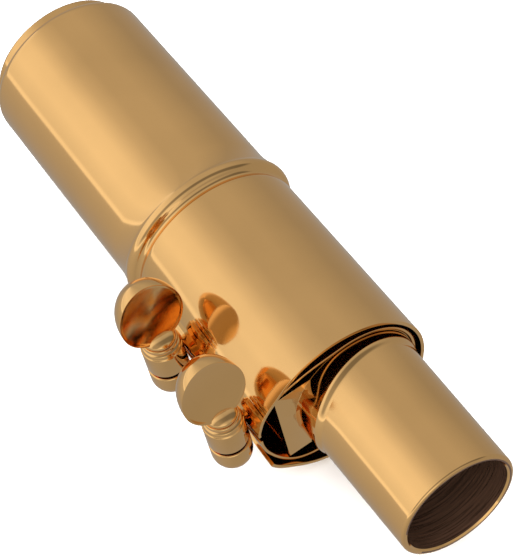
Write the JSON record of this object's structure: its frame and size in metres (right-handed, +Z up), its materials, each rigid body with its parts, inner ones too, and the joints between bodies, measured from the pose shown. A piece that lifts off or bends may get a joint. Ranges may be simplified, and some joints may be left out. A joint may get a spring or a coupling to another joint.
{
  "type": "saxophone ligature",
  "caption": "Gold-lacquered brass saxophone ligature with thumbscrews, on a metal mouthpiece under a slotted sliding cap.",
  "frame": {"origin": "on the floor below the middle of the whole object", "axes": "+X from the cap's closed end to the mouthpiece's shank, -Y the side of the clamp posts and the reed table, +Z up, the way the thumbscrews point"},
  "size_m": [0.0962, 0.0344, 0.032],
  "materials": {
    "gold_lacquer": "mirror-polished brass under clear gold lacquer",
    "rod_brass": "bright turned brass",
    "bite_rubber": "smooth black hard rubber"
  },
  "bodies": {
    "mouthpiece": {"mouthpiece_body": "gold_lacquer", "bite_plate": "bite_rubber"},
    "cap": {"cap_shell": "gold_lacquer", "cap_end_disc": "gold_lacquer"},
    "ligature": {"ligature_band": "gold_lacquer", "upper_post_rear": "gold_lacquer", "lower_post_rear": "gold_lacquer", "upper_post_front": "gold_lacquer", "lower_post_front": "gold_lacquer"},
    "washer_rear": {"screw_washer_rear": "gold_lacquer"},
    "washer_front": {"screw_washer_front": "gold_lacquer"},
    "screw_rear": {"thumb_grip_rear": "gold_lacquer", "screw_rod_rear": "rod_brass"},
    "screw_front": {"thumb_grip_front": "gold_lacquer", "screw_rod_front": "rod_brass"}
  },
  "joints": [
    {"name": "cap_slide", "type": "slide", "parent": "mouthpiece", "child": "cap", "axis": [-1, 0, 0], "range_m": [0, 0.07]},
    {"name": "ligature_slide", "type": "slide", "parent": "mouthpiece", "child": "ligature", "axis": [1, 0, 0], "range_m": [-0.001, 0.004]},
    {"name": "screw_travel_rear", "type": "slide", "parent": "ligature", "child": "washer_rear", "axis": [0, 0, 1], "range_m": [0, 0.0015]},
    {"name": "screw_turn_rear", "type": "hinge", "parent": "washer_rear", "child": "screw_rear", "pos_m": [0.02115, -0.01243, 0.0204], "axis": [0, 0, 1], "range_deg": [0, 1080]},
    {"name": "screw_travel_front", "type": "slide", "parent": "ligature", "child": "washer_front", "axis": [0, 0, 1], "range_m": [0, 0.0015]},
    {"name": "screw_turn_front", "type": "hinge", "parent": "washer_front", "child": "screw_front", "pos_m": [0.00605, -0.01243, 0.0204], "axis": [0, 0, 1], "range_deg": [0, 1080]}
  ],
  "couplings": [
    {"joint": "screw_turn_rear", "follows": "screw_travel_rear", "rad_per_m": 12566},
    {"joint": "screw_turn_front", "follows": "screw_travel_front", "rad_per_m": 12566}
  ]
}
